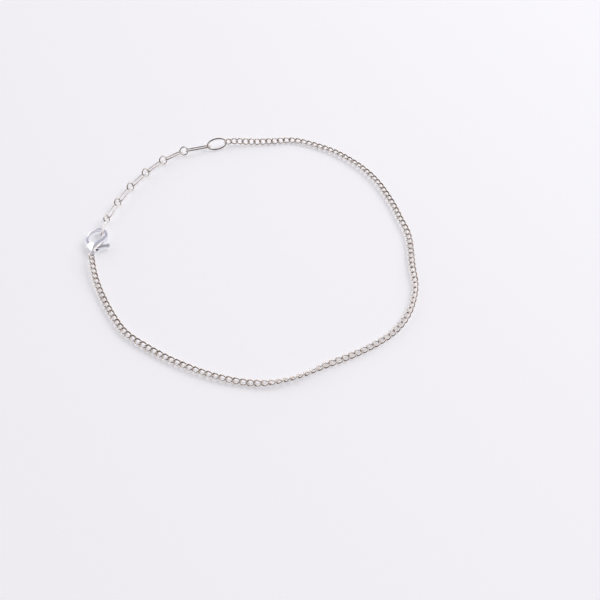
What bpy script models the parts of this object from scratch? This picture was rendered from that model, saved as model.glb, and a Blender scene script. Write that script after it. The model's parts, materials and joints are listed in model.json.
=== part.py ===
"""Fine silver anklet: a curb chain, a lobster clasp and an extender, closed and lying flat.

All pieces lie along one closed route. Each piece takes its place on the route from the inner
lengths of the pieces before it, so the loop closes whatever the size of a link is.
"""

from math import atan2, copysign, cos, hypot, pi, radians, sin, sqrt, tau

import bmesh
import bpy
from mathutils import Matrix, Vector

MM = 0.001

# Curb chain: outer sizes of one link, and the turn from one end of it to the other
CURB_LINK_COUNT = 121
CURB_LINK_LENGTH = 2.70 * MM
CURB_LINK_WIDTH = 2.10 * MM
CURB_WIRE = 0.45 * MM
CURB_TWIST = radians(-90)
CURB_BRIDGE = 0.02 * MM

# Extender: long links and round rings
EXTENDER_LINK_COUNT = 7
LONG_LINK_LENGTH = 6.42 * MM
LONG_LINK_WIDTH = 2.10 * MM
END_LINK_LENGTH = 8.20 * MM
EXTENDER_WIRE = 0.50 * MM
RING_DIAMETER = 2.90 * MM
RING_DROP = 0.12 * MM
LINK_PLAY = 0.10 * MM

# Oval ring between the extender and the curb chain
OVAL_LENGTH = 6.50 * MM
OVAL_WIDTH = 3.70 * MM
OVAL_WIRE = 0.60 * MM
OVAL_SLACK = 0.50 * MM

# Small ring between the curb chain and the clasp's eye
CLASP_RING_DIAMETER = 2.60 * MM
CLASP_RING_WIRE = 0.42 * MM

# Lobster clasp
HOOK_DIAMETER = 6.30 * MM
HOOK_WIRE = 1.05 * MM
HOOK_TIP_WIRE = 0.70 * MM
HOOK_TIP_ANGLE = radians(188)
HOOK_ROOT_ANGLE = radians(-30)
HOOK_STEPS = 14
HOOKED_LINK_ANGLE = radians(63)
HOOKED_LINK_SLACK = 1.35 * MM
EYE_DROP = 6.55 * MM
EYE_DIAMETER = 1.64 * MM
EYE_HOLE = 0.76 * MM
EYE_SIDES = 6
BODY_THICKNESS = 2.20 * MM
BODY_ROUNDING = 0.45 * MM

# Lever of the clasp, with its pin
LEVER_THICKNESS = 0.70 * MM
LEVER_CLEARANCE = 0.10 * MM
HUB_DIAMETER = 1.90 * MM
PIN_DIAMETER = 0.64 * MM
TAB_LENGTH = 4.85 * MM
TAB_WIDTH = 0.80 * MM
TAB_KNOB = 1.20 * MM
TAB_ANGLE = radians(13)
LEVER_SWING = radians(25)
NECK_ANGLE = radians(25)
KNOB_WRAP = radians(110)
HUB_TOP = radians(75)
HUB_BACK = radians(205)
HUB_BACK_SWEEP = radians(120)
HUB_STEPS = 6
PIN_STEPS = 10

# Facets: sides of a wire, and steps round a link
WIRE_SIDES = 5
CURB_STEPS = 10
LINK_STEPS = 12
OVAL_STEPS = 14
ROUTE_STEPS = 16

# Route of the chain, chosen by hand, in millimetres and in order from the clasp's eye.
# The whole route is scaled until it is as long as the pieces that lie along it.
ROUTE = [
    (-56.2, 19.3), (-56.1, 16.8), (-54.6, 10.9), (-52.0, 4.3), (-48.4, -2.7), (-44.5, -8.4),
    (-38.3, -13.4), (-30.5, -18.3), (-21.7, -22.4), (-13.1, -24.7), (-6.5, -24.8),
    (-0.4, -23.2), (7.0, -19.5), (14.6, -16.0), (22.4, -10.9), (27.5, -4.5), (30.3, 4.1),
    (30.2, 12.6), (30.2, 23.8), (28.4, 30.9), (26.2, 38.6), (22.8, 46.6), (18.5, 52.8),
    (12.9, 58.3), (7.0, 62.1), (-0.4, 65.0), (-7.9, 64.7), (-15.5, 64.5), (-19.9, 64.6),
    (-26.4, 62.6), (-33.3, 60.8), (-39.3, 56.9), (-43.9, 51.9), (-48.2, 45.5), (-51.1, 39.3),
    (-53.5, 33.2), (-54.2, 28.1),
]

# How far the curb chain leans over, in degrees, at shares of its length
CURB_LEAN = [
    (0.00, -28), (0.06, 0), (0.15, 6), (0.25, -8), (0.30, 0), (0.345, -42), (0.36, -42),
    (0.41, -4), (0.50, -6), (0.55, -42), (0.58, -42), (0.63, -4), (0.80, 8), (0.88, 0),
    (0.94, -30), (1.00, -78),
]

# Links at each end of the curb chain that are lifted towards the ring beside them
LIFTED_LINKS = 5

# Lean of the other pieces, in degrees
CLASP_RING_LEAN = -58
OVAL_LEAN = -42
LONG_LINK_LEAN = 20
RING_LEAN = -62
HOOKED_LINK_LEAN = 74

# Outline of the clasp's lower body: shares of the hook's radius across, of the eye's drop down
BODY_OUTLINE = [
    (-0.16, -0.97), (-0.40, -0.82), (-0.66, -0.58), (-0.72, -0.50), (-0.28, -0.47),
    (0.16, -0.42), (0.55, -0.27), (0.69, -0.10), (0.99, -0.14), (0.97, -0.26), (0.77, -0.42),
    (0.41, -0.60), (0.21, -0.83), (0.16, -0.97),
]
# Outline of the gate, from the hub up its outer edge and down its inner edge, in the same shares
GATE_OUTER = [(-0.60, -0.615), (-0.74, -0.50), (-0.87, -0.36), (-0.95, -0.20)]
GATE_INNER = [(-0.70, -0.20), (-0.58, -0.33), (-0.40, -0.47)]
PIVOT_SHARE = (-0.16, -0.63)
# Corners of the lever's slot above the hub: shares of the hub's room, and directions from the pin
SLOT_CORNERS = [(1.0, radians(75)), (2.2, radians(80)), (3.2, radians(160)), (1.0, radians(195))]
SLOT_GAP = radians(10)


def polar(radius, angle):
    return Vector((radius * cos(angle), radius * sin(angle), 0.0))


def new_collection(name):
    collection = bpy.data.collections.new(name)
    bpy.context.scene.collection.children.link(collection)
    return collection


def move_to(collection, obj):
    for old in list(obj.users_collection):
        old.objects.unlink(obj)
    collection.objects.link(obj)


def silver(name, colour, roughness):
    material = bpy.data.materials.new(name)
    material.use_nodes = True
    shader = material.node_tree.nodes["Principled BSDF"]
    shader.inputs["Base Color"].default_value = (*colour, 1.0)
    shader.inputs["Metallic"].default_value = 1.0
    shader.inputs["Roughness"].default_value = roughness
    return material


# Route

def smooth_route(points, steps):
    """Catmull-Rom curve through the closed list of points."""
    curve = []
    count = len(points)
    for index in range(count):
        before, start, end, after = (Vector(points[(index + shift) % count]) for shift in (-1, 0, 1, 2))
        for step in range(steps):
            share = step / steps
            bend = (2 * before - 5 * start + 4 * end - after) * share ** 2
            turn = (3 * start - before - 3 * end + after) * share ** 3
            curve.append((2 * start + (end - before) * share + bend + turn) / 2)
    return curve


class Route:
    """The closed path, scaled so that its length is that of the whole anklet."""

    def __init__(self, points, length):
        curve = smooth_route(points, ROUTE_STEPS)
        spans = [(curve[(i + 1) % len(curve)] - curve[i]).length for i in range(len(curve))]
        scale = length / sum(spans)
        self.points = [point * scale for point in curve]
        self.spans = [span * scale for span in spans]
        self.length = length

    def point(self, distance):
        distance %= self.length
        for index, span in enumerate(self.spans):
            if distance <= span:
                start = self.points[index]
                end = self.points[(index + 1) % len(self.points)]
                return start.lerp(end, distance / span).to_3d()
            distance -= span
        return self.points[0].to_3d()

    def frame(self, distance, reach, lean, height):
        """Place of a piece: X along the route between its two ends, turned about X by its lean."""
        start = self.point(distance - reach)
        end = self.point(distance + reach)
        along = (end - start).normalized()
        across = Vector((0.0, 0.0, 1.0)).cross(along)
        middle = (start + end) / 2
        place = Matrix((
            (along.x, across.x, 0.0, middle.x),
            (along.y, across.y, 0.0, middle.y),
            (0.0, 0.0, 1.0, height),
            (0.0, 0.0, 0.0, 1.0),
        ))
        return place @ Matrix.Rotation(radians(lean), 4, "X")


def lean_at(table, share):
    for (low, lean_low), (high, lean_high) in zip(table, table[1:]):
        if share <= high:
            part = (share - low) / (high - low)
            ease = part * part * (3 - 2 * part)
            return lean_low + (lean_high - lean_low) * ease
    return table[-1][1]


# Links

def torus(width, wire, steps, sides):
    """A ring of the given outer width, turned half a step so that a flat faces each end."""
    bpy.ops.mesh.primitive_torus_add(
        major_segments=steps, minor_segments=sides,
        major_radius=(width - wire) / 2, minor_radius=wire / 2)
    obj = bpy.context.active_object
    obj.data.transform(Matrix.Rotation(pi / steps, 4, "Z"))
    return obj


def shape_oval(mesh, length, width, wire, twist=0.0):
    """Stretch a ring to an ellipse along X, keep its wire round, and twist it about X."""
    half_length = (length - wire) / 2
    half_width = (width - wire) / 2
    for vert in mesh.vertices:
        angle = atan2(vert.co.y, vert.co.x)
        outward = hypot(vert.co.x, vert.co.y) - half_width
        normal = Vector((cos(angle) / half_length, sin(angle) / half_width, 0.0)).normalized()
        centre = Vector((half_length * cos(angle), half_width * sin(angle), vert.co.z))
        place = centre + normal * outward
        turn = Matrix.Rotation(twist * place.x / (2 * half_length), 3, "X")
        vert.co = turn @ place


def shape_long(mesh, length, width):
    """Pull a ring apart along X, so that it gets straight sides."""
    pull = (length - width) / 2
    for vert in mesh.vertices:
        vert.co.x += copysign(pull, vert.co.x)


def half_opening(length, wire):
    """From a link's centre to the inner side of its end."""
    return length / 2 - wire


def lowest(mesh, lean):
    turn = Matrix.Rotation(radians(lean), 3, "X")
    return min((turn @ vert.co).z for vert in mesh.vertices)


def place_link(obj, name, route, distance, reach, lean, height, material, collection):
    obj.name = name
    obj.data.name = name
    obj.matrix_world = route.frame(distance, reach, lean, height)
    obj.data.materials.append(material)
    obj.data.shade_smooth()
    move_to(collection, obj)
    return obj


# Curb chain

def curb_link():
    """One twisted link as a bmesh, with its two flat inner ends."""
    obj = torus(CURB_LINK_WIDTH, CURB_WIRE, CURB_STEPS, WIRE_SIDES)
    shape_oval(obj.data, CURB_LINK_LENGTH, CURB_LINK_WIDTH, CURB_WIRE, CURB_TWIST)
    link = bmesh.new()
    link.from_mesh(obj.data)
    bpy.data.objects.remove(obj)
    link.faces.ensure_lookup_table()
    head = max(link.faces, key=lambda face: -face.normal.x + face.calc_center_median().x / CURB_WIRE)
    tail = max(link.faces, key=lambda face: face.normal.x - face.calc_center_median().x / CURB_WIRE)
    return link, head.index, tail.index


def curb_reach():
    """From a curb link's centre to the flat inner side of its end."""
    link, head, _ = curb_link()
    link.faces.ensure_lookup_table()
    reach = link.faces[head].calc_center_median().x
    link.free()
    return reach


def join_links(chain, head, tail):
    """Solder two links where the flats of their ends face each other."""
    edges = list(head.edges) + list(tail.edges)
    bmesh.ops.delete(chain, geom=[head, tail], context="FACES_ONLY")
    bmesh.ops.bridge_loops(chain, edges=edges)


def curb_chain(name, places, material, collection):
    """Links at the given places, each soldered to the next."""
    chain = bmesh.new()
    link, head_index, tail_index = curb_link()
    shape = bpy.data.meshes.new("curb_link")
    link.to_mesh(shape)
    link.free()
    last_head = None
    for place in places:
        first = len(chain.faces)
        first_vert = len(chain.verts)
        chain.from_mesh(shape)
        chain.verts.ensure_lookup_table()
        chain.faces.ensure_lookup_table()
        bmesh.ops.transform(chain, matrix=place, verts=chain.verts[first_vert:])
        head = chain.faces[first + head_index]
        tail = chain.faces[first + tail_index]
        if last_head is not None:
            join_links(chain, last_head, tail)
        last_head = head
    bpy.data.meshes.remove(shape)
    bmesh.ops.recalc_face_normals(chain, faces=chain.faces)
    mesh = bpy.data.meshes.new(name)
    chain.to_mesh(mesh)
    chain.free()
    mesh.materials.append(material)
    mesh.shade_smooth()
    obj = bpy.data.objects.new(name, mesh)
    collection.objects.link(obj)
    return obj


# Clasp, in its own frame: the hook's centre at the origin, the eye on -Y, the underside at z = 0

HOOK_RADIUS = (HOOK_DIAMETER - HOOK_WIRE) / 2
CLASP_MIDDLE = BODY_THICKNESS / 2
EYE = Vector((0.0, -EYE_DROP, CLASP_MIDDLE))
PIVOT = Vector((PIVOT_SHARE[0] * HOOK_DIAMETER / 2, PIVOT_SHARE[1] * EYE_DROP, CLASP_MIDDLE))
HOOKED = polar(HOOK_RADIUS, HOOKED_LINK_ANGLE)


def outline_point(share):
    return Vector((share[0] * HOOK_DIAMETER / 2, share[1] * EYE_DROP, 0.0))


def curve_mesh(name, curve):
    """Turn a curve into a closed mesh object with its caps welded."""
    source = bpy.data.objects.new(name + "_curve", curve)
    bpy.context.scene.collection.objects.link(source)
    evaluated = source.evaluated_get(bpy.context.evaluated_depsgraph_get())
    mesh = bpy.data.meshes.new_from_object(evaluated)
    mesh.name = name
    bpy.data.objects.remove(source)
    shape = bmesh.new()
    shape.from_mesh(mesh)
    bmesh.ops.remove_doubles(shape, verts=shape.verts, dist=0.001 * MM)
    bmesh.ops.recalc_face_normals(shape, faces=shape.faces)
    shape.to_mesh(mesh)
    shape.free()
    mesh.materials.clear()
    return bpy.data.objects.new(name, mesh)


def plate(name, outlines, thickness, middle, rounding=0.0):
    """A flat outline made solid, with its edges rounded; inner outlines are holes."""
    curve = bpy.data.curves.new(name, "CURVE")
    curve.dimensions = "2D"
    curve.fill_mode = "BOTH"
    curve.extrude = thickness / 2 - rounding
    curve.bevel_depth = rounding
    curve.bevel_resolution = 1
    curve.offset = -rounding
    for outline in outlines:
        spline = curve.splines.new("POLY")
        spline.points.add(len(outline) - 1)
        for point, place in zip(spline.points, outline):
            point.co = (place.x, place.y, 0.0, 1.0)
        spline.use_cyclic_u = True
    obj = curve_mesh(name, curve)
    obj.data.transform(Matrix.Translation((0.0, 0.0, middle)))
    return obj


def hook_tube(name):
    """The hook's arc, thickest at its root and thin at its tip."""
    curve = bpy.data.curves.new(name, "CURVE")
    curve.dimensions = "3D"
    curve.bevel_depth = HOOK_WIRE / 2
    curve.bevel_resolution = 2
    curve.use_fill_caps = True
    spline = curve.splines.new("POLY")
    spline.points.add(HOOK_STEPS)
    for step, point in enumerate(spline.points):
        share = step / HOOK_STEPS
        angle = HOOK_ROOT_ANGLE + (HOOK_TIP_ANGLE - HOOK_ROOT_ANGLE) * share
        point.co = (*(polar(HOOK_RADIUS, angle) + Vector((0.0, 0.0, CLASP_MIDDLE))), 1.0)
        point.radius = 1 - share ** 2 * (1 - HOOK_TIP_WIRE / HOOK_WIRE)
    return curve_mesh(name, curve)


def circle_points(centre, diameter, steps, start=0.0, sweep=tau):
    count = steps if sweep >= tau else steps + 1
    return [centre.xy.to_3d() + polar(diameter / 2, start + sweep * i / steps) for i in range(count)]


def slot_outline():
    """The room that the lever needs in the body: its hub, and the sweep of its gate and its tab."""
    room = HUB_DIAMETER / 2 + LEVER_CLEARANCE
    reach = TAB_LENGTH
    tab_half = TAB_WIDTH / 2 + LEVER_CLEARANCE
    low = TAB_ANGLE - LEVER_SWING
    centre = PIVOT.xy.to_3d()
    side = pi / 2
    points = []
    points.append(centre + polar(room, low - side))
    points.append(centre + polar(reach, low) + polar(tab_half, low - side))
    points.append(centre + polar(reach, TAB_ANGLE) + polar(tab_half, TAB_ANGLE + side))
    points.append(centre + polar(tab_half, TAB_ANGLE + side) + polar(room, TAB_ANGLE))
    points.extend(centre + polar(share * room, angle) for share, angle in SLOT_CORNERS)
    sweep = low - side + tau - HUB_BACK - SLOT_GAP
    points.extend(circle_points(centre, 2 * room, HUB_STEPS, HUB_BACK, sweep))
    return points


def lever_outline():
    """Gate, hub and tab in one outline, anticlockwise from the tab's lower edge."""
    centre = PIVOT.xy.to_3d()
    side = pi / 2
    knob = centre + polar(TAB_LENGTH - TAB_KNOB / 2, TAB_ANGLE)
    points = []
    neck = TAB_LENGTH - TAB_KNOB
    points.append(centre + polar(HUB_DIAMETER / 2, TAB_ANGLE - NECK_ANGLE))
    points.append(centre + polar(neck, TAB_ANGLE) + polar(TAB_WIDTH / 2, TAB_ANGLE - side))
    points.extend(circle_points(knob, TAB_KNOB, HUB_STEPS, TAB_ANGLE - KNOB_WRAP, 2 * KNOB_WRAP))
    points.append(centre + polar(neck, TAB_ANGLE) + polar(TAB_WIDTH / 2, TAB_ANGLE + side))
    points.append(centre + polar(HUB_DIAMETER / 2, TAB_ANGLE + NECK_ANGLE))
    points.append(centre + polar(HUB_DIAMETER / 2, HUB_TOP))
    points.extend(outline_point(share) for share in reversed(GATE_INNER))
    points.extend(gate_tip())
    points.extend(outline_point(share) for share in reversed(GATE_OUTER))
    points.extend(circle_points(centre, HUB_DIAMETER, HUB_STEPS, HUB_BACK, HUB_BACK_SWEEP))
    return points


def gate_tip():
    """Top of the gate: an arc about the pivot that passes just under the hook's tip."""
    tip = polar(HOOK_RADIUS, HOOK_TIP_ANGLE)
    inner = polar(HOOK_RADIUS - HOOK_TIP_WIRE / 2, HOOK_TIP_ANGLE)
    centre = PIVOT.xy.to_3d()
    radius = (inner - centre).length - LEVER_CLEARANCE
    middle = atan2(tip.y - centre.y, tip.x - centre.x)
    half = HOOK_TIP_WIRE / 2 / radius
    return [centre + polar(radius, middle - half), centre + polar(radius, middle + half)]


def add_boolean(obj, operation, other):
    modifier = obj.modifiers.new(other.name, "BOOLEAN")
    modifier.operation = operation
    modifier.object = other
    modifier.solver = "EXACT"


def cylinder(name, centre, diameter, height, steps):
    bpy.ops.mesh.primitive_cylinder_add(vertices=steps, radius=diameter / 2, depth=height)
    obj = bpy.context.active_object
    obj.name = name
    obj.data.transform(Matrix.Translation(centre))
    return obj


def eye_ring(name):
    wire = (EYE_DIAMETER - EYE_HOLE) / 2
    obj = torus(EYE_DIAMETER, wire, LINK_STEPS, EYE_SIDES)
    obj.name = name
    obj.data.transform(Matrix.Translation(EYE))
    return obj


def clasp_body(frame, material, parts, cutters):
    outline = [outline_point(share) for share in BODY_OUTLINE]
    body = plate("clasp_body", [outline], BODY_THICKNESS, CLASP_MIDDLE, BODY_ROUNDING)
    slot_height = LEVER_THICKNESS + 2 * LEVER_CLEARANCE
    slot = plate("lever_slot", [slot_outline()], slot_height, CLASP_MIDDLE)
    hook = hook_tube("hook")
    eye = eye_ring("eye")
    pin = cylinder("lever_pin", PIVOT, PIN_DIAMETER, BODY_THICKNESS - BODY_ROUNDING, PIN_STEPS)
    for tool, operation in ((hook, "UNION"), (eye, "UNION"), (slot, "DIFFERENCE"), (pin, "UNION")):
        move_to(cutters, tool)
        tool.parent = frame
        tool.hide_render = True
        tool.display_type = "WIRE"
        add_boolean(body, operation, tool)
    parts.objects.link(body)
    body.parent = frame
    body.data.materials.append(material)
    return body


def clasp_lever(frame, material, parts):
    """The lever, with its origin on the pin that it turns on."""
    hole = PIN_DIAMETER + 2 * LEVER_CLEARANCE
    outlines = [lever_outline(), circle_points(PIVOT, hole, PIN_STEPS)]
    lever = plate("clasp_lever", outlines, LEVER_THICKNESS, CLASP_MIDDLE)
    lever.data.transform(Matrix.Translation(-PIVOT))
    lever.location = PIVOT
    lever.parent = frame
    lever.data.materials.append(material)
    parts.objects.link(lever)
    return lever


def clasp_frame(start, end, collection):
    """An empty that puts the eye at the route's start and the hook where the first link crosses it."""
    local = (HOOKED - EYE).xy
    world = (end - start).xy
    turn = atan2(world.y, world.x) - atan2(local.y, local.x)
    frame = bpy.data.objects.new("clasp_frame", None)
    frame.empty_display_size = 2 * MM
    frame.rotation_euler.z = turn
    offset = Matrix.Rotation(turn, 3, "Z") @ EYE.xy.to_3d()
    frame.location = (start.x - offset.x, start.y - offset.y, 0.0)
    collection.objects.link(frame)
    return frame


# Layout

def ring_reach():
    """Half of a ring's opening along the line of the chain, which crosses it below its centre."""
    opening = half_opening(RING_DIAMETER, EXTENDER_WIRE)
    return sqrt(opening ** 2 - RING_DROP ** 2)


def layout():
    """Distances along the route, from the clasp's eye round to the hook."""
    curb = curb_reach()
    clasp_ring = half_opening(CLASP_RING_DIAMETER, CLASP_RING_WIRE)
    ring = ring_reach()
    places = {}
    eye_play = (EYE_HOLE - CLASP_RING_WIRE) / 2
    position = (CLASP_RING_DIAMETER - CLASP_RING_WIRE) / 2 + eye_play / 2
    places["clasp_jump_ring"] = position
    position += clasp_ring + curb - LINK_PLAY
    pitch = 2 * curb - CURB_BRIDGE
    places["curb"] = [position + index * pitch for index in range(CURB_LINK_COUNT)]
    position = places["curb"][-1]
    oval = half_opening(OVAL_LENGTH, OVAL_WIRE)
    position += curb + oval - LINK_PLAY
    places["oval_ring"] = position
    position += oval - OVAL_SLACK
    for number in range(EXTENDER_LINK_COUNT, 0, -1):
        reach = half_opening(link_length(number), EXTENDER_WIRE)
        position += reach
        places["extender_link_%d" % number] = position
        if number > 1:
            position += reach + ring - LINK_PLAY
            places["extender_ring_%d" % (number - 1)] = position
            position += ring - LINK_PLAY
    hook_gap = half_opening(LONG_LINK_LENGTH, EXTENDER_WIRE) - HOOK_WIRE / 2 - HOOKED_LINK_SLACK
    places["hook"] = position + hook_gap
    places["length"] = places["hook"] + (HOOKED - EYE).xy.length
    return places


def link_length(number):
    return END_LINK_LENGTH if number == EXTENDER_LINK_COUNT else LONG_LINK_LENGTH


def build_curb(route, places, material, collection):
    reach = curb_reach()
    link, _, _ = curb_link()
    shape = bpy.data.meshes.new("curb_probe")
    link.to_mesh(shape)
    link.free()
    frames = []
    last = CURB_LINK_COUNT - 1
    for index, distance in enumerate(places["curb"]):
        lean = lean_at(CURB_LEAN, index / last)
        height = -lowest(shape, lean)
        for steps, ring_height in ((index, clasp_ring_height()), (last - index, oval_height())):
            lift = max(0.0, 1 - steps / LIFTED_LINKS)
            height += lift * (ring_height - height)
        frames.append(route.frame(distance, reach, lean, height))
    bpy.data.meshes.remove(shape)
    half = (CURB_LINK_COUNT + 1) // 2
    curb_chain("curb_chain_front", frames[:half], material, collection)
    curb_chain("curb_chain_back", frames[half:], material, collection)


def leaning_height(width, wire, lean):
    """Height of a leaning ring's centre when its lower side lies on the surface."""
    return (width - wire) / 2 * abs(sin(radians(lean))) + wire / 2


def clasp_ring_height():
    return leaning_height(CLASP_RING_DIAMETER, CLASP_RING_WIRE, CLASP_RING_LEAN)


def oval_height():
    return leaning_height(OVAL_WIDTH, OVAL_WIRE, OVAL_LEAN)


def build_rings(route, places, material, collection):
    clasp_ring = torus(CLASP_RING_DIAMETER, CLASP_RING_WIRE, LINK_STEPS, WIRE_SIDES)
    place_link(clasp_ring, "clasp_jump_ring", route, places["clasp_jump_ring"],
               half_opening(CLASP_RING_DIAMETER, CLASP_RING_WIRE), CLASP_RING_LEAN,
               clasp_ring_height(), material, collection)
    oval = torus(OVAL_WIDTH, OVAL_WIRE, OVAL_STEPS, WIRE_SIDES)
    shape_oval(oval.data, OVAL_LENGTH, OVAL_WIDTH, OVAL_WIRE)
    place_link(oval, "oval_ring", route, places["oval_ring"],
               half_opening(OVAL_LENGTH, OVAL_WIRE), OVAL_LEAN, oval_height(), material, collection)


def extender_height():
    """Height of the extender's line: its leaning rings stand on the surface."""
    centre = leaning_height(RING_DIAMETER, EXTENDER_WIRE, RING_LEAN)
    return centre - RING_DROP * abs(sin(radians(RING_LEAN)))


def build_extender(route, places, material, collection):
    height = extender_height()
    for number in range(1, EXTENDER_LINK_COUNT + 1):
        length = link_length(number)
        link = torus(LONG_LINK_WIDTH, EXTENDER_WIRE, LINK_STEPS, WIRE_SIDES)
        shape_long(link.data, length, LONG_LINK_WIDTH)
        name = "extender_link_%d" % number
        lean = HOOKED_LINK_LEAN if number == 1 else LONG_LINK_LEAN
        place_link(link, name, route, places[name], half_opening(length, EXTENDER_WIRE), lean,
                   CLASP_MIDDLE if number == 1 else height, material, collection)
    for number in range(1, EXTENDER_LINK_COUNT):
        ring = torus(RING_DIAMETER, EXTENDER_WIRE, LINK_STEPS, WIRE_SIDES)
        ring.data.transform(Matrix.Translation((0.0, copysign(RING_DROP, RING_LEAN), 0.0)))
        name = "extender_ring_%d" % number
        place_link(ring, name, route, places[name], ring_reach(), RING_LEAN, height,
                   material, collection)


def centre_on_origin(parts, movable):
    """Shift everything so that the finished part's box is centred over the origin."""
    bpy.context.view_layer.update()
    depsgraph = bpy.context.evaluated_depsgraph_get()
    corners = []
    for obj in parts.objects:
        if obj.type == "MESH":
            evaluated = obj.evaluated_get(depsgraph)
            corners.extend(evaluated.matrix_world @ vert.co for vert in evaluated.data.vertices)
    low = [min(corner[axis] for corner in corners) for axis in range(3)]
    high = [max(corner[axis] for corner in corners) for axis in range(3)]
    shift = Vector((-(low[0] + high[0]) / 2, -(low[1] + high[1]) / 2, -low[2]))
    for obj in movable:
        obj.location += shift


def main():
    for obj in list(bpy.data.objects):
        bpy.data.objects.remove(obj)
    parts = new_collection("chain_anklet")
    cutters = new_collection("clasp_cutters")
    chain_silver = silver("chain_silver", (0.86, 0.86, 0.88), 0.16)
    link_silver = silver("link_silver", (0.88, 0.88, 0.90), 0.12)
    body_silver = silver("clasp_silver", (0.84, 0.84, 0.87), 0.20)
    lever_silver = silver("lever_silver", (0.80, 0.80, 0.84), 0.24)

    places = layout()
    route = Route(ROUTE, places["length"])
    build_curb(route, places, chain_silver, parts)
    build_rings(route, places, link_silver, parts)
    build_extender(route, places, link_silver, parts)
    frame = clasp_frame(route.point(0.0), route.point(places["hook"]), parts)
    clasp_body(frame, body_silver, parts, cutters)
    clasp_lever(frame, lever_silver, parts)
    movable = [obj for obj in parts.objects if obj.parent is None]
    centre_on_origin(parts, movable)


main()
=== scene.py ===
# %% [markdown]
# # A fine silver anklet
# This lesson dresses the finished solids of a chain anklet. The solids give every place and size,
# so nothing here is moved. The plain five-sided wire of the solids is replaced by round wire, the
# clasp gets its cast shape, and every metal gets a finish.

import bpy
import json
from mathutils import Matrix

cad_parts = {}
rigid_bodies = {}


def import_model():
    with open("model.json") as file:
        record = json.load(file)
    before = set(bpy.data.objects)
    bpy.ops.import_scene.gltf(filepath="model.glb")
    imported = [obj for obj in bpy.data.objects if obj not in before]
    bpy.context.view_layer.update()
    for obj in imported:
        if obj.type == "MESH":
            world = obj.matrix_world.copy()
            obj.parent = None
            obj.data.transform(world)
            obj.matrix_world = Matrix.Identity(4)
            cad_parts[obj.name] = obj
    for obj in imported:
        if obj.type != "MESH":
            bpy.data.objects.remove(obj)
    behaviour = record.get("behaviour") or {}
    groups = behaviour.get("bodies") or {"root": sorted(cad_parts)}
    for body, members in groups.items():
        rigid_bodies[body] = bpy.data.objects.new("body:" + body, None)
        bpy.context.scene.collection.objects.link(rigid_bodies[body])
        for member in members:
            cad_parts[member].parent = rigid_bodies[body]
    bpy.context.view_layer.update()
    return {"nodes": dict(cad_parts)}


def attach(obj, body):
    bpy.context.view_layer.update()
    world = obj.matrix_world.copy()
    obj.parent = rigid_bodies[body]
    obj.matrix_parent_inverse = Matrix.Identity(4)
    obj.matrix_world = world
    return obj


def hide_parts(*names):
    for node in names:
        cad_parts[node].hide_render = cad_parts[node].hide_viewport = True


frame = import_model()

# %% Blender's modules and the unit
import json
from math import atan2, copysign, cos, hypot, radians, sin, tau

import bmesh
import bpy
from mathutils import Matrix, Vector

MM = 0.001
WELD = 0.001 * MM


def in_mm(vector):
    return tuple(round(value / MM, 1) for value in vector)


# %% [markdown]
# ## Camera
# The anklet is seen from the front and from above, at almost fifty degrees, as one looks down on
# something that lies close by. The lens is a long one, so the far side of the loop is not much
# smaller than the near side. The camera also rolls by about a degree. A constraint could aim it at
# the anklet, but the three angles were measured, so they are set directly.

# %% Camera
CAMERA_PLACE = (0.01368, -0.18795, 0.19789)
CAMERA_DOWN = 49.35
CAMERA_ROLL = -1.3
LENS = 59.75
SENSOR_WIDTH = 36

camera_data = bpy.data.cameras.new("camera")
camera_data.lens = LENS
camera_data.sensor_width = SENSOR_WIDTH
camera = bpy.data.objects.new("camera", camera_data)
bpy.context.scene.collection.objects.link(camera)
camera_tilt = Matrix.Rotation(radians(90 - CAMERA_DOWN), 4, "X")
camera_roll = Matrix.Rotation(radians(CAMERA_ROLL), 4, "Z")
camera.matrix_world = Matrix.Translation(CAMERA_PLACE) @ camera_tilt @ camera_roll
bpy.context.scene.camera = camera
print("camera at, mm:", in_mm(camera.location))

# %% [markdown]
# ## Floor
# The floor is a plain pale surface. A curved backdrop would hide the horizon, but from above there
# is none, so a single flat grid is enough. It only has to catch the soft shadow of the wire. Part of
# its brightness is a glow of its own, so that it stays pale although the room above it has a dark
# side. It is part of the stage, not of the object.

# %% Floor
FLOOR_COLOUR = (0.75, 0.76, 0.80)
FLOOR_GLOW = (0.925, 0.94, 0.985)
FLOOR_GLOW_STRENGTH = 0.41

floor_mesh = bpy.data.meshes.new("floor")
floor_shape = bmesh.new()
bmesh.ops.create_grid(floor_shape, x_segments=1, y_segments=1, size=3.0)
floor_shape.to_mesh(floor_mesh)
floor_shape.free()
floor = bpy.data.objects.new("floor", floor_mesh)
bpy.context.scene.collection.objects.link(floor)
floor_paint = bpy.data.materials.new("floor_paint")
floor_paint.use_nodes = True
floor_shader = floor_paint.node_tree.nodes["Principled BSDF"]
floor_shader.inputs["Base Color"].default_value = (*FLOOR_COLOUR, 1.0)
floor_shader.inputs["Roughness"].default_value = 0.7
floor_shader.inputs["Specular IOR Level"].default_value = 0.2
floor_shader.inputs["Emission Color"].default_value = (*FLOOR_GLOW, 1.0)
floor_shader.inputs["Emission Strength"].default_value = FLOOR_GLOW_STRENGTH
floor_mesh.materials.append(floor_paint)
print("floor is", floor.dimensions.x, "m wide")

# %% [markdown]
# ## Light
# Silver has hardly a colour of its own. What one sees in it is the room. A picture of a room could
# be wrapped round the scene, but then nothing in it could be changed alone. So the room is
# built from soft patches on a pale ground, each with a direction, a width and a colour: the dark
# side where the viewer stands, three warm walls, a bright window on the left and a cool grey
# ceiling. The flat tops of the clasp show the ceiling, its sloping roof shows the window, and the
# wire shows a little of everything, which gives it the play of light and dark. A broad lamp adds
# the soft shadows. It is hidden from reflections, so that the silver mirrors the room alone. The
# tones are shown as they are, without a film curve, so that the pale floor stays pale.

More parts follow.
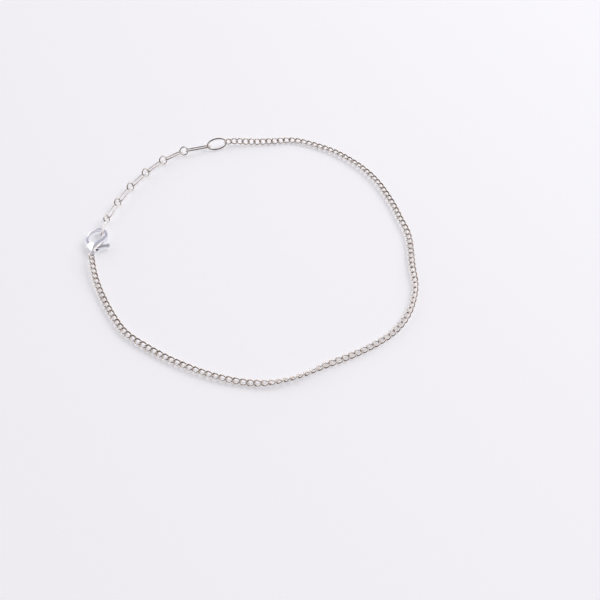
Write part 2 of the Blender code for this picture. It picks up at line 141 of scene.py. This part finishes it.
# %% A soft room
bpy.context.scene.view_settings.view_transform = "Standard"
world = bpy.data.worlds.new("room")
bpy.context.scene.world = world
world.use_nodes = True
room = world.node_tree
background = room.nodes["Background"]
direction = room.nodes.new("ShaderNodeTexCoord")
PALE_ROOM = (1.25, 1.24, 1.24)
# Sockets of a Mix node that mixes two colours
MIX_SHARE = 0
MIX_FIRST = 6
MIX_SECOND = 7
MIX_COLOUR = 2


def room_patch(under, toward, start, full, colour):
    """Lay a round patch over the room. It starts at one angle from its middle, and is full at another."""
    look = room.nodes.new("ShaderNodeVectorMath")
    look.operation = "DOT_PRODUCT"
    look.inputs[1].default_value = Vector(toward).normalized()
    share = room.nodes.new("ShaderNodeMapRange")
    share.interpolation_type = "SMOOTHSTEP"
    share.inputs["From Min"].default_value = cos(radians(start))
    share.inputs["From Max"].default_value = cos(radians(full))
    mix = room.nodes.new("ShaderNodeMix")
    mix.data_type = "RGBA"
    mix.inputs[MIX_SECOND].default_value = (*colour, 1.0)
    room.links.new(direction.outputs["Generated"], look.inputs[0])
    room.links.new(look.outputs["Value"], share.inputs["Value"])
    room.links.new(share.outputs["Result"], mix.inputs[MIX_SHARE])
    if under is None:
        mix.inputs[MIX_FIRST].default_value = (*PALE_ROOM, 1.0)
    else:
        room.links.new(under, mix.inputs[MIX_FIRST])
    return mix.outputs[MIX_COLOUR]


viewer_side = room_patch(None, (-0.12, -0.56, 0.82), 80, 57, (0.068, 0.043, 0.036))
left_wall = room_patch(viewer_side, (-0.62, 0.20, 0.76), 34, 14, (0.55, 0.49, 0.45))
far_wall = room_patch(left_wall, (0.00, 0.98, 0.12), 38, 14, (0.72, 0.64, 0.59))
right_wall = room_patch(far_wall, (0.80, 0.02, 0.58), 42, 16, (0.68, 0.60, 0.55))
side_window = room_patch(right_wall, (-0.62, 0.62, 0.48), 26, 12, (1.5, 1.5, 1.55))
ceiling = room_patch(side_window, (-0.12, 0.68, 0.72), 26, 13, (0.48, 0.48, 0.56))
room.links.new(ceiling, background.inputs["Color"])
background.inputs["Strength"].default_value = 1.0
print("nodes of the room:", len(room.nodes))

# %% A broad lamp
LAMP_PLACE = (0.66, 0.38, 0.58)
LAMP_SIZE = 0.60
LAMP_POWER = 3.8

lamp_data = bpy.data.lights.new("window", "AREA")
lamp_data.size = LAMP_SIZE
lamp_data.energy = LAMP_POWER
lamp = bpy.data.objects.new("window", lamp_data)
lamp.visible_glossy = False
lamp.location = LAMP_PLACE
lamp.rotation_euler = (-lamp.location).to_track_quat("-Z", "Y").to_euler()
bpy.context.scene.collection.objects.link(lamp)
print("lamp at, mm:", in_mm(lamp.location))

# %% [markdown]
# ## Finishes
# Polished silver is a metal with a low roughness. Three things keep it from looking like a perfect
# mirror: fine scratches from wear, a slight unevenness of the polish, and a little tarnish that
# stays in patches. They are the same effect on every piece, with other tones and depths, so they
# are made once as a node group, and not again in each material. The group only puts out a mask and
# a height. The patches are about a millimetre across. The scratches are a finer noise that is
# stretched along one direction.

# %% Node group for worn polish
worn = bpy.data.node_groups.new("worn_polish", "ShaderNodeTree")
worn.interface.new_socket("Patch Scale", in_out="INPUT", socket_type="NodeSocketFloat")
worn.interface.new_socket("Scratch Scale", in_out="INPUT", socket_type="NodeSocketFloat")
worn.interface.new_socket("Patches", in_out="OUTPUT", socket_type="NodeSocketFloat")
worn.interface.new_socket("Height", in_out="OUTPUT", socket_type="NodeSocketFloat")
group_in = worn.nodes.new("NodeGroupInput")
group_out = worn.nodes.new("NodeGroupOutput")
position = worn.nodes.new("ShaderNodeTexCoord")
patches = worn.nodes.new("ShaderNodeTexNoise")
patches.inputs["Detail"].default_value = 3.0
patch_range = worn.nodes.new("ShaderNodeMapRange")
patch_range.inputs["From Min"].default_value = 0.42
patch_range.inputs["From Max"].default_value = 0.72
stretch = worn.nodes.new("ShaderNodeMapping")
stretch.inputs["Scale"].default_value = (1.0, 0.12, 1.0)
scratches = worn.nodes.new("ShaderNodeTexNoise")
scratches.inputs["Detail"].default_value = 5.0
scratches.inputs["Roughness"].default_value = 0.65
worn.links.new(position.outputs["Object"], patches.inputs["Vector"])
worn.links.new(group_in.outputs["Patch Scale"], patches.inputs["Scale"])
worn.links.new(patches.outputs["Fac"], patch_range.inputs["Value"])
worn.links.new(patch_range.outputs["Result"], group_out.inputs["Patches"])
worn.links.new(position.outputs["Object"], stretch.inputs["Vector"])
worn.links.new(stretch.outputs["Vector"], scratches.inputs["Vector"])
worn.links.new(group_in.outputs["Scratch Scale"], scratches.inputs["Scale"])
worn.links.new(scratches.outputs["Fac"], group_out.inputs["Height"])
print("sockets of the group:", len(worn.interface.items_tree))


# %% Silver
PATCH_SCALE = 900.0
SCRATCH_SCALE = 5200.0
SCRATCH_DEPTH = 0.01 * MM


def silver(name, clean, tarnished, smooth, rough, bump):
    """A polished silver: two tones and two roughnesses, mixed by the patches of wear."""
    finish = bpy.data.materials.new(name)
    finish.use_nodes = True
    tree = finish.node_tree
    shader = tree.nodes["Principled BSDF"]
    shader.inputs["Metallic"].default_value = 1.0
    wear = tree.nodes.new("ShaderNodeGroup")
    wear.node_tree = worn
    wear.inputs["Patch Scale"].default_value = PATCH_SCALE
    wear.inputs["Scratch Scale"].default_value = SCRATCH_SCALE
    tone = tree.nodes.new("ShaderNodeMix")
    tone.data_type = "RGBA"
    tone.inputs[MIX_FIRST].default_value = (*clean, 1.0)
    tone.inputs[MIX_SECOND].default_value = (*tarnished, 1.0)
    tree.links.new(wear.outputs["Patches"], tone.inputs[MIX_SHARE])
    tree.links.new(tone.outputs[MIX_COLOUR], shader.inputs["Base Color"])
    polish = tree.nodes.new("ShaderNodeMapRange")
    polish.inputs["To Min"].default_value = smooth
    polish.inputs["To Max"].default_value = rough
    tree.links.new(wear.outputs["Patches"], polish.inputs["Value"])
    tree.links.new(polish.outputs["Result"], shader.inputs["Roughness"])
    relief = tree.nodes.new("ShaderNodeBump")
    relief.inputs["Strength"].default_value = bump
    relief.inputs["Distance"].default_value = SCRATCH_DEPTH
    tree.links.new(wear.outputs["Height"], relief.inputs["Height"])
    tree.links.new(relief.outputs["Normal"], shader.inputs["Normal"])
    return finish


print("noise cells in a metre, patches:", PATCH_SCALE, "scratches:", SCRATCH_SCALE)

# %% The four finishes
chain_finish = silver("chain_silver_worn", (0.95, 0.92, 0.90), (0.75, 0.68, 0.63), 0.10, 0.22, 0.25)
link_finish = silver("link_silver_worn", (0.93, 0.91, 0.90), (0.78, 0.74, 0.71), 0.08, 0.18, 0.20)
clasp_finish = silver("clasp_silver_worn", (0.93, 0.93, 0.96), (0.80, 0.80, 0.84), 0.12, 0.24, 0.25)
lever_finish = silver("lever_silver_worn", (0.88, 0.88, 0.92), (0.70, 0.69, 0.72), 0.16, 0.30, 0.30)
print("finishes:", [finish.name for finish in (chain_finish, link_finish, clasp_finish, lever_finish)])

# %% [markdown]
# ## Route
# The chain lies along one closed curve. These are the points that the solids follow, in
# millimetres, from the clasp's eye round to the hook. A Bezier curve would need two handles at
# every point. A Catmull-Rom curve needs none and goes through all the points, so the links turn
# smoothly.

# %% Points of the route
ROUTE = [
    (-42.57, -0.75), (-42.47, -3.25), (-40.97, -9.16), (-38.36, -15.76), (-34.76, -22.77),
    (-30.86, -28.47), (-24.65, -33.48), (-16.85, -38.38), (-8.04, -42.49), (0.57, -44.79),
    (7.17, -44.89), (13.28, -43.29), (20.68, -39.58), (28.29, -36.08), (36.1, -30.98),
    (41.2, -24.57), (44.0, -15.96), (43.9, -7.46), (43.9, 3.75), (42.1, 10.86), (39.9, 18.56),
    (36.5, 26.57), (32.19, 32.78), (26.59, 38.28), (20.68, 42.08), (13.28, 44.99), (5.77, 44.69),
    (-1.83, 44.49), (-6.24, 44.59), (-12.74, 42.58), (-19.65, 40.78), (-25.65, 36.88),
    (-30.26, 31.88), (-34.56, 25.47), (-37.46, 19.27), (-39.87, 13.16), (-40.57, 8.06),
]
ROUTE_STEPS = 16


def smooth_route(points, steps):
    """A closed curve through points in millimetres, with so many steps from each to the next."""
    curve = []
    count = len(points)
    for index in range(count):
        before, start, end, after = (Vector(points[(index + k) % count]) for k in (-1, 0, 1, 2))
        for step in range(steps):
            share = step / steps
            bend = (2 * before - 5 * start + 4 * end - after) * share ** 2
            turn = (3 * start - before - 3 * end + after) * share ** 3
            curve.append((2 * start + (end - before) * share + bend + turn) / 2 * MM)
    return curve


route = smooth_route(ROUTE, ROUTE_STEPS)
spans = [(end - start).length for start, end in zip(route, route[1:] + route[:1])]
print("length of the loop, mm:", round(sum(spans) / MM, 1))


# %% Places on the route
def route_point(distance):
    """The point at this distance along the route."""
    for index, span in enumerate(spans):
        if distance <= span:
            return route[index].lerp(route[(index + 1) % len(route)], distance / span).to_3d()
        distance -= span
    return route[0].to_3d()


def link_place(distance, reach, lean, height):
    """X runs along the route between the link's two inner ends, and the link leans about X."""
    start = route_point(distance - reach)
    end = route_point(distance + reach)
    along = (end - start).normalized()
    across = Vector((0.0, 0.0, 1.0)).cross(along)
    middle = (start + end) / 2
    place = Matrix((
        (along.x, across.x, 0.0, middle.x),
        (along.y, across.y, 0.0, middle.y),
        (0.0, 0.0, 1.0, height),
        (0.0, 0.0, 0.0, 1.0),
    ))
    return place @ Matrix.Rotation(radians(lean), 4, "X")


print("the eye, mm:", in_mm(route_point(0.0)))

# %% [markdown]
# ## Round wire
# Every ring and link is bent from round wire. A curve object with a round bevel would show such
# wire too, but a twist is easier to give to a mesh. A small circle is the wire's section, and a full
# spin of it makes a ring. The ring is then stretched to an ellipse, or pulled apart into a long
# link with straight sides. Only the places of the ring's own vertices change, so the mesh stays
# closed.


# %% A ring of wire
def wire_ring(width, wire, steps, sides):
    """A flat ring: its outer width, the wire's thickness, the steps round it and the wire's sides."""
    shape = bmesh.new()
    section = bmesh.ops.create_circle(shape, segments=sides, radius=wire / 2)
    upright = Matrix.Rotation(radians(90), 4, "X")
    place = Matrix.Translation(((width - wire) / 2, 0.0, 0.0)) @ upright
    bmesh.ops.transform(shape, matrix=place, verts=section["verts"])
    bmesh.ops.spin(shape, geom=shape.verts[:] + shape.edges[:], axis=(0, 0, 1), cent=(0, 0, 0),
                   angle=tau, steps=steps, use_merge=True)
    bmesh.ops.remove_doubles(shape, verts=shape.verts, dist=WELD)
    bmesh.ops.recalc_face_normals(shape, faces=shape.faces)
    return shape


def is_closed(shape):
    """Whether every edge has exactly two faces."""
    return all(edge.is_manifold for edge in shape.edges)


trial_ring = wire_ring(2.9 * MM, 0.5 * MM, steps=48, sides=12)
print("faces of one ring:", len(trial_ring.faces), "closed:", is_closed(trial_ring))
trial_ring.free()


# %% Stretch, twist or pull a ring
def stretch_to_ellipse(shape, length, width, wire, twist=0.0):
    """Lengthen a round ring along X, and twist it about X from one end to the other."""
    half_length = (length - wire) / 2
    half_width = (width - wire) / 2
    for vert in shape.verts:
        angle = atan2(vert.co.y, vert.co.x)
        outward = hypot(vert.co.x, vert.co.y) - half_width
        normal = Vector((cos(angle) / half_length, sin(angle) / half_width, 0.0)).normalized()
        centre = Vector((half_length * cos(angle), half_width * sin(angle), vert.co.z))
        place = centre + normal * outward
        vert.co = Matrix.Rotation(twist * place.x / (2 * half_length), 3, "X") @ place


def pull_apart(shape, length, width):
    """Move the two halves of a ring apart along X, which leaves straight sides between them."""
    for vert in shape.verts:
        if abs(vert.co.x) > WELD:
            vert.co.x += copysign((length - width) / 2, vert.co.x)


trial_link = wire_ring(2.1 * MM, 0.5 * MM, steps=40, sides=14)
pull_apart(trial_link, 6.4 * MM, 2.1 * MM)
print("half the length of a pulled ring, mm:", round(max(vert.co.x for vert in trial_link.verts) / MM, 2))
trial_link.free()


# %% Turn a shape into a finished piece
def finish_piece(shape, name, body, finish, node):
    """Make an object of a bmesh, and say what it rides on, what it is made of and what it replaces."""
    mesh = bpy.data.meshes.new(name)
    shape.to_mesh(mesh)
    shape.free()
    mesh.shade_smooth()
    mesh.materials.append(finish)
    piece = bpy.data.objects.new(name, mesh)
    bpy.context.scene.collection.objects.link(piece)
    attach(piece, body)
    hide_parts(node)
    return piece


print("solids to replace:", sorted(frame["nodes"]))

# %% [markdown]
# ## Curb chain
# A curb chain is made of oval links that are each twisted a quarter turn. Because of the twist the
# links lie flat on each other, and all their open ends point the same way, like an ear of wheat.
# The lying chain rolls over a little here and there. It leans half over at two places, and stands
# nearly on its edge where it meets the oval ring. An Array modifier along a curve would repeat one
# link just as it is. Here the link is copied in code into one mesh for each half of the chain,
# because each copy leans in its own way.

# %% One curb link
LINK_LENGTH = 2.81 * MM
LINK_WIDTH = 2.17 * MM
LINK_WIRE = 0.52 * MM
LINK_TWIST = radians(-90)
LINK_REACH = 0.9035 * MM
LINK_PITCH = 1.78703 * MM
FIRST_LINK = 2.8585 * MM
LINK_COUNT = 121
FRONT_COUNT = 61

link_shape = wire_ring(LINK_WIDTH, LINK_WIRE, steps=22, sides=8)
stretch_to_ellipse(link_shape, LINK_LENGTH, LINK_WIDTH, LINK_WIRE, LINK_TWIST)
link_mesh = bpy.data.meshes.new("one_curb_link")
link_shape.to_mesh(link_mesh)
link_shape.free()
print("faces of one link:", len(link_mesh.polygons), "faces of all:", len(link_mesh.polygons) * LINK_COUNT)

# %% How the chain leans along its length
# Share of the chain's length, and the lean of the links there in degrees
CURB_LEAN = [
    (0.00, -28), (0.06, 0), (0.15, 6), (0.25, -8), (0.30, 0), (0.345, -42), (0.36, -42),
    (0.41, -4), (0.50, -6), (0.55, -42), (0.58, -42), (0.63, -4), (0.80, 8), (0.88, 0),
    (0.94, -30), (1.00, -78),
]
LIFTED_LINKS = 5
CLASP_RING_HEIGHT = 1.134 * MM
OVAL_HEIGHT = 1.337 * MM


def lean_at(share):
    """Lean at this share of the chain's length, with soft steps between the values above."""
    for (low, lean_low), (high, lean_high) in zip(CURB_LEAN, CURB_LEAN[1:]):
        if share <= high:
            part = (share - low) / (high - low)
            return lean_low + (lean_high - lean_low) * part * part * (3 - 2 * part)
    return CURB_LEAN[-1][1]


def resting_height(lean):
    """Height of a leaning link whose lowest point touches the floor."""
    turn = Matrix.Rotation(radians(lean), 3, "X")
    return -min((turn @ vert.co).z for vert in link_mesh.vertices)


def curb_height(index, lean):
    """Height of a link, which rises to the rings at both ends of the chain."""
    height = resting_height(lean)
    for steps, ring_height in ((index, CLASP_RING_HEIGHT), (LINK_COUNT - 1 - index, OVAL_HEIGHT)):
        height += max(0.0, 1 - steps / LIFTED_LINKS) * (ring_height - height)
    return height


print("lean at the two ends:", lean_at(0), lean_at(1))

# %% Both halves of the chain
def curb_half(name, indices, node):
    """Copies of the link at some of the places, as one piece."""
    shape = bmesh.new()
    for index in indices:
        lean = lean_at(index / (LINK_COUNT - 1))
        first = len(shape.verts)
        shape.from_mesh(link_mesh)
        shape.verts.ensure_lookup_table()
        place = link_place(FIRST_LINK + index * LINK_PITCH, LINK_REACH, lean, curb_height(index, lean))
        bmesh.ops.transform(shape, matrix=place, verts=shape.verts[first:])
    return finish_piece(shape, name, "anklet", chain_finish, node)


curb_front = curb_half("curb_links_front", range(FRONT_COUNT), "curb_chain_front")
curb_back = curb_half("curb_links_back", range(FRONT_COUNT, LINK_COUNT), "curb_chain_back")
bpy.data.meshes.remove(link_mesh)
print("faces:", len(curb_front.data.polygons), len(curb_back.data.polygons))

# %% [markdown]
# ## Extender and rings
# The extender is a run of long links that lie almost flat, joined by round rings that stand up
# between them. The wire is about as thick as that of the curb chain. The first link stands on edge
# in the clasp's hook, and the last one hangs in the oval ring. Each link is a piece of its own, made
# by the same ring of wire, so that it can replace its own solid.

# %% Long links
EXTENDER_WIRE = 0.50 * MM
LONG_WIDTH = 2.10 * MM
EXTENDER_HEIGHT = 1.2036 * MM
CLASP_MIDDLE = 1.10 * MM
# Distance along the route, length and lean of each link
LONG_LINKS = {
    1: (270.024, 6.42, 74), 2: (262.9193, 6.42, 20), 3: (255.8145, 6.42, 20),
    4: (248.7097, 6.42, 20), 5: (241.6049, 6.42, 20), 6: (234.5001, 6.42, 20),
    7: (226.5054, 8.20, 20),
}
for number, (distance, length, lean) in LONG_LINKS.items():
    shape = wire_ring(LONG_WIDTH, EXTENDER_WIRE, steps=40, sides=14)
    pull_apart(shape, length * MM, LONG_WIDTH)
    height = CLASP_MIDDLE if number == 1 else EXTENDER_HEIGHT
    reach = length / 2 * MM - EXTENDER_WIRE
    bmesh.ops.transform(shape, matrix=link_place(distance * MM, reach, lean, height), verts=shape.verts)
    finish_piece(shape, "long_link_%d" % number, "anklet", link_finish,
                 "extender_link_%d" % number)
print("long links:", len(LONG_LINKS))

# %% Round rings between them
RING_WIDTH = 2.90 * MM
RING_DROP = -0.12 * MM
RING_REACH = 0.9424 * MM
RING_LEAN = -62
RING_PLACES = [266.4717, 259.3669, 252.2621, 245.1573, 238.0525, 230.9477]
for number, distance in enumerate(RING_PLACES, start=1):
    shape = wire_ring(RING_WIDTH, EXTENDER_WIRE, steps=48, sides=14)
    bmesh.ops.translate(shape, vec=(0.0, RING_DROP, 0.0), verts=shape.verts)
    place = link_place(distance * MM, RING_REACH, RING_LEAN, EXTENDER_HEIGHT)
    bmesh.ops.transform(shape, matrix=place, verts=shape.verts)
    finish_piece(shape, "round_ring_%d" % number, "anklet", link_finish,
                 "extender_ring_%d" % number)
print("round rings:", len(RING_PLACES))

# %% Oval ring and the clasp's small ring
OVAL_LENGTH = 6.50 * MM
OVAL_WIDTH = 3.70 * MM
OVAL_WIRE = 0.60 * MM
OVAL_DISTANCE = 220.7554 * MM
OVAL_REACH = 2.65 * MM
OVAL_LEAN = -42
CLASP_RING_WIDTH = 2.60 * MM
CLASP_RING_WIRE = 0.42 * MM
CLASP_RING_DISTANCE = 1.175 * MM
CLASP_RING_REACH = 0.88 * MM
CLASP_RING_LEAN = -58

oval_shape = wire_ring(OVAL_WIDTH, OVAL_WIRE, steps=56, sides=16)
stretch_to_ellipse(oval_shape, OVAL_LENGTH, OVAL_WIDTH, OVAL_WIRE)
oval_place = link_place(OVAL_DISTANCE, OVAL_REACH, OVAL_LEAN, OVAL_HEIGHT)
bmesh.ops.transform(oval_shape, matrix=oval_place, verts=oval_shape.verts)
finish_piece(oval_shape, "oval_wire_ring", "anklet", link_finish, "oval_ring")

ring_shape = wire_ring(CLASP_RING_WIDTH, CLASP_RING_WIRE, steps=44, sides=14)
ring_place = link_place(CLASP_RING_DISTANCE, CLASP_RING_REACH, CLASP_RING_LEAN, CLASP_RING_HEIGHT)
bmesh.ops.transform(ring_shape, matrix=ring_place, verts=ring_shape.verts)
finish_piece(ring_shape, "clasp_wire_ring", "anklet", link_finish, "clasp_jump_ring")
print("lean of the oval ring:", OVAL_LEAN, "lean of the clasp's ring:", CLASP_RING_LEAN)

# %% [markdown]
# ## Clasp
# A lobster clasp is cast in one piece. Its hook grows out of a body that is shaped like a roof: a
# narrow flat band runs up from the eye and round the hook, and a tall flank falls away outside it.
# That band is lofted: one section is a flat polygon, and it is extruded again and again along the
# hook's line, each time with its own width and height. It could be sculpted too, but a loft keeps
# every width as a number. Subdivision rounds it, and creases keep the band's two edges crisp.

# %% The clasp's own frame, in millimetres round the middle of the hook
HOOK_MIDDLE = (-41.9764 * MM, 5.7721 * MM, 0.0)
CLASP_TURN = -5.178
CLASP_ROTATION = Matrix.Rotation(radians(CLASP_TURN), 4, "Z")
CLASP_PLACE = Matrix.Translation(HOOK_MIDDLE) @ CLASP_ROTATION @ Matrix.Scale(MM, 4)
HOOK_LINE = 2.625
# Place of each section, its direction, the band's inner and outer edge, the flank, bottom and top
HOOK_SECTIONS = [
    (0.06, -6.10, 90, 0.10, 0.10, 0.36, 0.62, 1.84),
    (0.08, -5.60, 90, 0.14, 0.12, 0.66, 0.22, 2.04),
    (0.16, -4.85, 84, 0.24, 0.18, 0.92, 0.02, 2.16),
    (0.40, -4.10, 68, 0.52, 0.30, 1.06, 0.00, 2.20),
    (0.88, -3.40, 50, 0.68, 0.40, 1.00, 0.00, 2.20),
    (1.52, -2.62, 50, 0.66, 0.44, 0.86, 0.00, 2.18),
    (2.14, -1.72, 62, 0.58, 0.44, 0.70, 0.06, 2.10),
    (2.53, -0.78, 78, 0.50, 0.42, 0.60, 0.16, 1.98),
]
# On the round part an angle gives place and direction, and a last value lowers the band's outer edge
HOOK_ARC = [
    (6, 0.46, 0.40, 0.54, 0.28, 1.86), (34, 0.43, 0.37, 0.53, 0.36, 1.78),
    (62, 0.38, 0.32, 0.52, 0.40, 1.72), (90, 0.34, 0.28, 0.52, 0.44, 1.68),
    (118, 0.33, 0.24, 0.50, 0.48, 1.66, 0.10), (146, 0.32, 0.20, 0.46, 0.52, 1.62, 0.20),
    (170, 0.28, 0.18, 0.40, 0.62, 1.54, 0.22), (187, 0.22, 0.14, 0.33, 0.74, 1.44, 0.16),
    (189.5, 0.20, 0.13, 0.31, 0.76, 1.42, 0.14),
]
print("sections of the hook:", len(HOOK_SECTIONS) + len(HOOK_ARC))


# %% One section of the hook
WALL_SWELL = 0.10
FLANK_FOOT = 0.86
WALL_FOOT = 0.9


def hook_section(x, y, heading, inner, outer, flank, low, high, fall=0.0):
    """Six corners: over the band, down the outer flank, along the underside and up the inner wall."""
    out = Vector((sin(radians(heading)), -cos(radians(heading)), 0.0))
    middle = (low + high) / 2
    wall = inner + WALL_SWELL
    profile = [(-inner, high), (outer, high - fall), (flank, middle),
               (flank * FLANK_FOOT, low), (-wall * WALL_FOOT, low), (-wall, middle)]
    return [Vector((x, y, height)) + out * side for side, height in profile]


print("corners of one section:", len(hook_section(*HOOK_SECTIONS[0])))

# %% A loft through all sections
BAND_CREASE = 0.75


def loft(sections, creased):
    """Extrude the first section through all the others, and crease the lines of some corners."""
    shape = bmesh.new()
    crease = shape.edges.layers.float.new("crease_edge")
    rows = [[shape.verts.new(point) for point in sections[0]]]
    face = shape.faces.new(rows[0])
    for section in sections[1:]:
        last = [vert.co.copy() for vert in rows[-1]]
        face = bmesh.ops.extrude_discrete_faces(shape, faces=[face])["faces"][0]
        row = [min(face.verts, key=lambda vert, at=at: (vert.co - at).length) for at in last]
        for vert, point in zip(row, section):
            vert.co = point
        rows.append(row)
    bmesh.ops.holes_fill(shape, edges=shape.edges[:], sides=len(sections[0]))
    for first, second in zip(rows, rows[1:]):
        for corner in creased:
            edge = shape.edges.get((first[corner], second[corner]))
            if edge:
                edge[crease] = BAND_CREASE
    bmesh.ops.recalc_face_normals(shape, faces=shape.faces[:])
    return shape


sections = [hook_section(*values) for values in HOOK_SECTIONS]
for angle, *sizes in HOOK_ARC:
    x, y = HOOK_LINE * cos(radians(angle)), HOOK_LINE * sin(radians(angle))
    sections.append(hook_section(x, y, angle + 90, *sizes))
hook_shape = loft(sections, creased=(0, 1))
print("hook faces:", len(hook_shape.faces), "closed:", is_closed(hook_shape))

# %% [markdown]
# The left side of the body is a separate lobe, which holds the lever. It starts as a flat outline
# whose corners are smoothed by the same curve as the route. The outline is extruded, its top is
# tilted into a sloping roof, and its edges are rounded. A slot is cut through the lobe and the body
# at mid-height, because the lever turns in it. The pieces are joined with the Boolean modifier, as
# the cast metal is one piece.


# %% A plate with rounded edges
LEAST_RUN = 0.01


def smooth_outline(points, steps):
    """The same curve as the route's, through the corners of an outline."""
    return [(point.x / MM, point.y / MM) for point in smooth_route(points, steps)]


def rounded_plate(outline, low, high, rounding=0.0, segments=3, slope=(0.0, 0.0)):
    """Extrude an outline, tilt its top, and round every edge that does not run upright."""
    shape = bmesh.new()
    face = shape.faces.new([shape.verts.new((x, y, low)) for x, y in outline])
    grown = bmesh.ops.extrude_face_region(shape, geom=[face])["geom"]
    lifted = [item for item in grown if isinstance(item, bmesh.types.BMVert)]
    bmesh.ops.translate(shape, vec=(0.0, 0.0, high - low), verts=lifted)
    for vert in lifted:
        vert.co.z += slope[0] * vert.co.x + slope[1] * vert.co.y
    bmesh.ops.recalc_face_normals(shape, faces=shape.faces[:])
    if rounding:
        rim = [edge for edge in shape.edges if (edge.verts[0].co - edge.verts[1].co).xy.length > LEAST_RUN]
        bmesh.ops.bevel(shape, geom=rim, offset=rounding, affect="EDGES", segments=segments,
                        profile=0.5, material=-1, clamp_overlap=False)
    return shape


trial_plate = rounded_plate([(0.0, 0.0), (2.0, 0.0), (2.0, 2.0), (0.0, 2.0)], 0.0, 1.0, rounding=0.1)
print("faces of a square plate with round edges:", len(trial_plate.faces))
trial_plate.free()

# %% Lobe, slot and eye
LOBE_OUTLINE = [
    (0.10, -6.20), (-0.36, -6.05), (-0.98, -5.45), (-1.55, -4.65), (-2.02, -3.90), (-2.14, -3.45),
    (-1.60, -3.20), (-1.10, -2.85), (-0.55, -2.82), (0.10, -2.92), (0.40, -3.40), (0.14, -5.0),
]
LOBE_TOP = 2.40
LOBE_ROUNDING = 0.12
ROOF_SLOPE = (0.20, 0.10)
SLOT_OUTLINE = [
    (-0.72, -5.15), (4.14, -5.62), (4.11, -2.55), (0.41, -3.4), (-0.23, -3.11), (-0.1, -1.85),
    (-3.66, -2.98), (-1.52, -4.4), (-1.39, -4.69), (-1.23, -4.89), (-1.02, -5.04), (-0.9, -5.1),
]
SLOT_LOW = 0.71
SLOT_HIGH = 1.49
EYE_MIDDLE = (0.0, -6.55, 1.10)
EYE_WIDTH = 1.64
EYE_WIRE = 0.44

lobe_outline = smooth_outline(LOBE_OUTLINE, steps=3)
lobe_shape = rounded_plate(lobe_outline, 0.0, LOBE_TOP, LOBE_ROUNDING, slope=ROOF_SLOPE)
slot_shape = rounded_plate(SLOT_OUTLINE, SLOT_LOW, SLOT_HIGH)
eye_shape = wire_ring(EYE_WIDTH, EYE_WIRE, steps=32, sides=12)
bmesh.ops.translate(eye_shape, vec=EYE_MIDDLE, verts=eye_shape.verts)
print("lobe faces:", len(lobe_shape.faces), "slot faces:", len(slot_shape.faces))


# %% Join and cut the body
ROUNDING_LEVELS = 3


def working_object(name, shape):
    """An object that only lends its shape to a modifier, and is removed afterwards."""
    mesh = bpy.data.meshes.new(name)
    shape.to_mesh(mesh)
    shape.free()
    helper = bpy.data.objects.new(name, mesh)
    bpy.context.scene.collection.objects.link(helper)
    return helper


body_form = working_object("clasp_form", hook_shape)
rounding = body_form.modifiers.new("rounding", "SUBSURF")
rounding.levels = ROUNDING_LEVELS
rounding.render_levels = ROUNDING_LEVELS
helpers = [body_form]
for name, shape, operation in (("lobe_form", lobe_shape, "UNION"), ("eye_form", eye_shape, "UNION"),
                               ("slot_form", slot_shape, "DIFFERENCE")):
    tool = working_object(name, shape)
    helpers.append(tool)
    boolean = body_form.modifiers.new(name, "BOOLEAN")
    boolean.operation = operation
    boolean.solver = "EXACT"
    boolean.object = tool
print("modifiers of the body:", [modifier.name for modifier in body_form.modifiers])

# %% Take the finished shape out of the modifiers
FORM_WELD = 0.002

bpy.context.view_layer.update()
seen = body_form.evaluated_get(bpy.context.evaluated_depsgraph_get())
body_mesh = bpy.data.meshes.new_from_object(seen)
body_shape = bmesh.new()
body_shape.from_mesh(body_mesh)
bpy.data.meshes.remove(body_mesh)
for helper in helpers:
    helper_mesh = helper.data
    bpy.data.objects.remove(helper)
    bpy.data.meshes.remove(helper_mesh)
bmesh.ops.remove_doubles(body_shape, verts=body_shape.verts, dist=FORM_WELD)
bmesh.ops.transform(body_shape, matrix=CLASP_PLACE, verts=body_shape.verts)
print("body faces:", len(body_shape.faces), "closed:", is_closed(body_shape))

# %% Finish the body, with sharp edges kept sharp
SHARP_ANGLE = radians(35)

clasp_piece = finish_piece(body_shape, "clasp_cast_body", "anklet",
                           clasp_finish, "clasp_body")
clasp_piece.data.set_sharp_from_angle(angle=SHARP_ANGLE)
print("triangles:", sum(len(face.vertices) - 2 for face in clasp_piece.data.polygons))

# %% [markdown]
# ## Lever
# The lever is one stamped strip. Its gate closes the hook, its hub turns on the pin inside the
# slot, and its tab stands out on the right for the thumb. A stamped part is an outline with a
# thickness, so it is made as the lobe is, without a loft. It rides on the body that the hinge
# turns, so it opens with it.

# %% Lever
LEVER_OUTLINE = [
    (0.40, -4.80), (1.30, -4.45), (2.30, -4.0), (3.14, -3.72), (3.56, -3.77), (3.93, -3.69),
    (4.19, -3.41), (4.22, -3.04), (4.03, -2.71), (3.68, -2.57), (3.31, -2.67), (2.96, -2.92),
    (0.24, -3.54), (-0.26, -3.21), (-1.26, -3.08), (-1.83, -2.16), (-2.21, -1.31), (-2.18, -0.39),
    (-2.79, -0.73), (-2.99, -1.31), (-2.74, -2.36), (-2.33, -3.28), (-1.89, -4.03), (-1.36, -4.53),
    (-1.18, -4.8), (-0.91, -4.99), (-0.59, -5.07), (-0.26, -5.04), (0.04, -4.95),
]
LEVER_LOW = 0.75
LEVER_HIGH = 1.45
LEVER_ROUNDING = 0.14

lever_outline = smooth_outline(LEVER_OUTLINE, steps=2)
lever_shape = rounded_plate(lever_outline, LEVER_LOW, LEVER_HIGH, LEVER_ROUNDING)
bmesh.ops.transform(lever_shape, matrix=CLASP_PLACE, verts=lever_shape.verts)
lever_piece = finish_piece(lever_shape, "clasp_thumb_lever", "lever",
                           lever_finish, "clasp_lever")
lever_piece.data.set_sharp_from_angle(angle=SHARP_ANGLE)
print("lever faces:", len(lever_piece.data.polygons))
